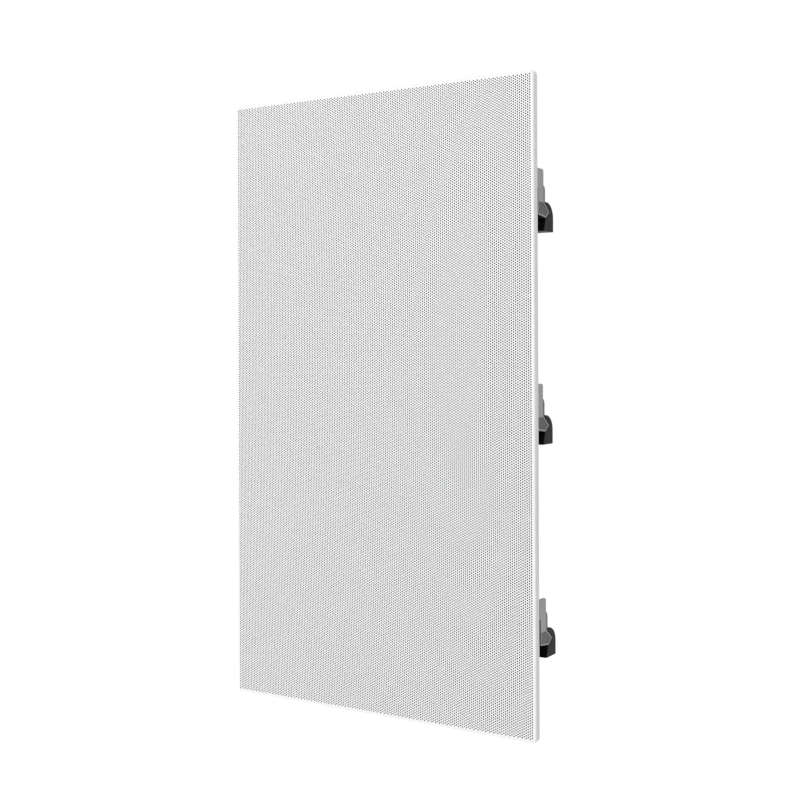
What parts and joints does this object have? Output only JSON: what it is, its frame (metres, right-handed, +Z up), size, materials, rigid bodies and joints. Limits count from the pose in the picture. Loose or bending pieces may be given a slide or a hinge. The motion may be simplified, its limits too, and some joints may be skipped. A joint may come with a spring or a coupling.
{
  "type": "in wall speaker",
  "caption": "Flush rectangular in-wall loudspeaker with a crowned perforated white grille, woofers either side of a dome tweeter, and screw-driven swing-out clamps.",
  "frame": {"origin": "middle of the wall opening, on the plane of the wall's face, which is the flange's back face", "axes": "+X to the right seen from the front, +Y into the wall, +Z up"},
  "size_m": [0.2496, 0.0849, 0.441],
  "materials": {
    "grille_paint": "fine matt white powder coat",
    "scrim_cloth": "thin black woven cloth",
    "frame_plastic": "fine-textured black moulded plastic",
    "nickel": "nickel plate",
    "basket_paint": "satin black paint on pressed steel",
    "cone_paper": "coated pressed pulp",
    "cap_paper": "coated pressed pulp",
    "surround_rubber": "moulded rubber",
    "spider_cloth": "resin-treated woven cloth",
    "coil_copper": "enamelled copper winding",
    "motor_steel": "zinc-plated steel",
    "ferrite": "ground ferrite",
    "tweeter_plastic": "fine-textured black moulded plastic",
    "dome_silk": "coated silk",
    "screw_steel": "black zinc plate",
    "board_laminate": "solder-masked laminate",
    "coil_wire": "enamelled copper wire",
    "capacitor_film": "glossy wrapped film",
    "resistor_cement": "matt cement case",
    "terminal_plastic": "moulded plastic",
    "lever_red": "moulded plastic",
    "lever_black": "moulded plastic",
    "clamp_steel": "zinc plate",
    "bush_brass": "turned brass",
    "carrier_zinc": "grey cast metal, tumbled",
    "foot_plastic": "black moulded plastic"
  },
  "bodies": {
    "frame": {"baffle_frame": "frame_plastic", "crossover_board": "board_laminate", "crossover_board_screws": "clamp_steel", "crossover_capacitors": "capacitor_film", "crossover_coils": "coil_wire", "crossover_resistors": "resistor_cement", "crossover_standoffs": "nickel", "driver_screws": "screw_steel", "grille_magnets": "nickel", "lower_woofer_basket": "basket_paint", "lower_woofer_ferrite_magnet": "ferrite", "lower_woofer_spider": "spider_cloth", "lower_woofer_surround": "surround_rubber", "lower_woofer_top_plate": "motor_steel", "lower_woofer_yoke": "motor_steel", "terminal_block": "terminal_plastic", "tweeter_dome": "dome_silk", "tweeter_faceplate": "tweeter_plastic", "tweeter_motor": "motor_steel", "upper_woofer_basket": "basket_paint", "upper_woofer_ferrite_magnet": "ferrite", "upper_woofer_spider": "spider_cloth", "upper_woofer_surround": "surround_rubber", "upper_woofer_top_plate": "motor_steel", "upper_woofer_yoke": "motor_steel"},
    "grille": {"grille_panel": "grille_paint", "grille_scrim": "scrim_cloth"},
    "upper_cone": {"upper_woofer_cone": "cone_paper", "upper_woofer_dust_cap": "cap_paper", "upper_woofer_voice_coil": "coil_copper"},
    "lower_cone": {"lower_woofer_cone": "cone_paper", "lower_woofer_dust_cap": "cap_paper", "lower_woofer_voice_coil": "coil_copper"},
    "left_lever": {"left_terminal_lever": "lever_black"},
    "right_lever": {"right_terminal_lever": "lever_red"},
    "upper_left_screw": {"upper_left_clamp_screw": "clamp_steel"},
    "upper_left_bush": {"upper_left_clamp_bush": "bush_brass"},
    "upper_left_dog": {"upper_left_clamp_carrier": "carrier_zinc", "upper_left_clamp_foot": "foot_plastic"},
    "upper_right_screw": {"upper_right_clamp_screw": "clamp_steel"},
    "upper_right_bush": {"upper_right_clamp_bush": "bush_brass"},
    "upper_right_dog": {"upper_right_clamp_carrier": "carrier_zinc", "upper_right_clamp_foot": "foot_plastic"},
    "middle_left_screw": {"middle_left_clamp_screw": "clamp_steel"},
    "middle_left_bush": {"middle_left_clamp_bush": "bush_brass"},
    "middle_left_dog": {"middle_left_clamp_carrier": "carrier_zinc", "middle_left_clamp_foot": "foot_plastic"},
    "middle_right_screw": {"middle_right_clamp_screw": "clamp_steel"},
    "middle_right_bush": {"middle_right_clamp_bush": "bush_brass"},
    "middle_right_dog": {"middle_right_clamp_carrier": "carrier_zinc", "middle_right_clamp_foot": "foot_plastic"},
    "lower_left_screw": {"lower_left_clamp_screw": "clamp_steel"},
    "lower_left_bush": {"lower_left_clamp_bush": "bush_brass"},
    "lower_left_dog": {"lower_left_clamp_carrier": "carrier_zinc", "lower_left_clamp_foot": "foot_plastic"},
    "lower_right_screw": {"lower_right_clamp_screw": "clamp_steel"},
    "lower_right_bush": {"lower_right_clamp_bush": "bush_brass"},
    "lower_right_dog": {"lower_right_clamp_carrier": "carrier_zinc", "lower_right_clamp_foot": "foot_plastic"}
  },
  "joints": [
    {"name": "grille_pull", "type": "slide", "parent": "frame", "child": "grille", "axis": [0, -1, 0], "range_m": [0, 0.06]},
    {"name": "upper_cone_travel", "type": "slide", "parent": "frame", "child": "upper_cone", "axis": [0, -1, 0], "range_m": [-0.004, 0.004], "stiffness_N_per_m": 1500},
    {"name": "lower_cone_travel", "type": "slide", "parent": "frame", "child": "lower_cone", "axis": [0, -1, 0], "range_m": [-0.004, 0.004], "stiffness_N_per_m": 1500},
    {"name": "left_lever_press", "type": "slide", "parent": "frame", "child": "left_lever", "axis": [0, -1, 0], "range_m": [0, 0.003], "stiffness_N_per_m": 800},
    {"name": "right_lever_press", "type": "slide", "parent": "frame", "child": "right_lever", "axis": [0, -1, 0], "range_m": [0, 0.003], "stiffness_N_per_m": 800},
    {"name": "upper_left_screw_turn", "type": "hinge", "parent": "frame", "child": "upper_left_screw", "pos_m": [-0.1065, 0, 0.1464], "axis": [0, 1, 0], "range_deg": [0, 11213]},
    {"name": "upper_left_draw", "type": "slide", "parent": "frame", "child": "upper_left_bush", "axis": [0, -1, 0], "range_m": [0, 0.0218]},
    {"name": "upper_left_swing", "type": "hinge", "parent": "upper_left_bush", "child": "upper_left_dog", "pos_m": [-0.1065, 0, 0.1464], "axis": [0, 1, 0], "range_deg": [0, 90]},
    {"name": "upper_right_screw_turn", "type": "hinge", "parent": "frame", "child": "upper_right_screw", "pos_m": [0.1065, 0, 0.1464], "axis": [0, 1, 0], "range_deg": [0, 11213]},
    {"name": "upper_right_draw", "type": "slide", "parent": "frame", "child": "upper_right_bush", "axis": [0, -1, 0], "range_m": [0, 0.0218]},
    {"name": "upper_right_swing", "type": "hinge", "parent": "upper_right_bush", "child": "upper_right_dog", "pos_m": [0.1065, 0, 0.1464], "axis": [0, -1, 0], "range_deg": [0, 90]},
    {"name": "middle_left_screw_turn", "type": "hinge", "parent": "frame", "child": "middle_left_screw", "pos_m": [-0.1065, 0, 0], "axis": [0, 1, 0], "range_deg": [0, 10133]},
    {"name": "middle_left_draw", "type": "slide", "parent": "frame", "child": "middle_left_bush", "axis": [0, -1, 0], "range_m": [0, 0.0197]},
    {"name": "middle_left_swing", "type": "hinge", "parent": "middle_left_bush", "child": "middle_left_dog", "pos_m": [-0.1065, 0, 0], "axis": [0, 1, 0], "range_deg": [0, 90]},
    {"name": "middle_right_screw_turn", "type": "hinge", "parent": "frame", "child": "middle_right_screw", "pos_m": [0.1065, 0, 0], "axis": [0, 1, 0], "range_deg": [0, 10133]},
    {"name": "middle_right_draw", "type": "slide", "parent": "frame", "child": "middle_right_bush", "axis": [0, -1, 0], "range_m": [0, 0.0197]},
    {"name": "middle_right_swing", "type": "hinge", "parent": "middle_right_bush", "child": "middle_right_dog", "pos_m": [0.1065, 0, 0], "axis": [0, -1, 0], "range_deg": [0, 90]},
    {"name": "lower_left_screw_turn", "type": "hinge", "parent": "frame", "child": "lower_left_screw", "pos_m": [-0.1065, 0, -0.1464], "axis": [0, 1, 0], "range_deg": [0, 11881]},
    {"name": "lower_left_draw", "type": "slide", "parent": "frame", "child": "lower_left_bush", "axis": [0, -1, 0], "range_m": [0, 0.0231]},
    {"name": "lower_left_swing", "type": "hinge", "parent": "lower_left_bush", "child": "lower_left_dog", "pos_m": [-0.1065, 0, -0.1464], "axis": [0, 1, 0], "range_deg": [0, 90]},
    {"name": "lower_right_screw_turn", "type": "hinge", "parent": "frame", "child": "lower_right_screw", "pos_m": [0.1065, 0, -0.1464], "axis": [0, 1, 0], "range_deg": [0, 11881]},
    {"name": "lower_right_draw", "type": "slide", "parent": "frame", "child": "lower_right_bush", "axis": [0, -1, 0], "range_m": [0, 0.0231]},
    {"name": "lower_right_swing", "type": "hinge", "parent": "lower_right_bush", "child": "lower_right_dog", "pos_m": [0.1065, 0, -0.1464], "axis": [0, -1, 0], "range_deg": [0, 90]}
  ],
  "couplings": [
    {"joint": "upper_left_screw_turn", "follows": "upper_left_draw", "rad_per_m": 8976},
    {"joint": "upper_right_screw_turn", "follows": "upper_right_draw", "rad_per_m": 8976},
    {"joint": "middle_left_screw_turn", "follows": "middle_left_draw", "rad_per_m": 8976},
    {"joint": "middle_right_screw_turn", "follows": "middle_right_draw", "rad_per_m": 8976},
    {"joint": "lower_left_screw_turn", "follows": "lower_left_draw", "rad_per_m": 8976},
    {"joint": "lower_right_screw_turn", "follows": "lower_right_draw", "rad_per_m": 8976}
  ]
}
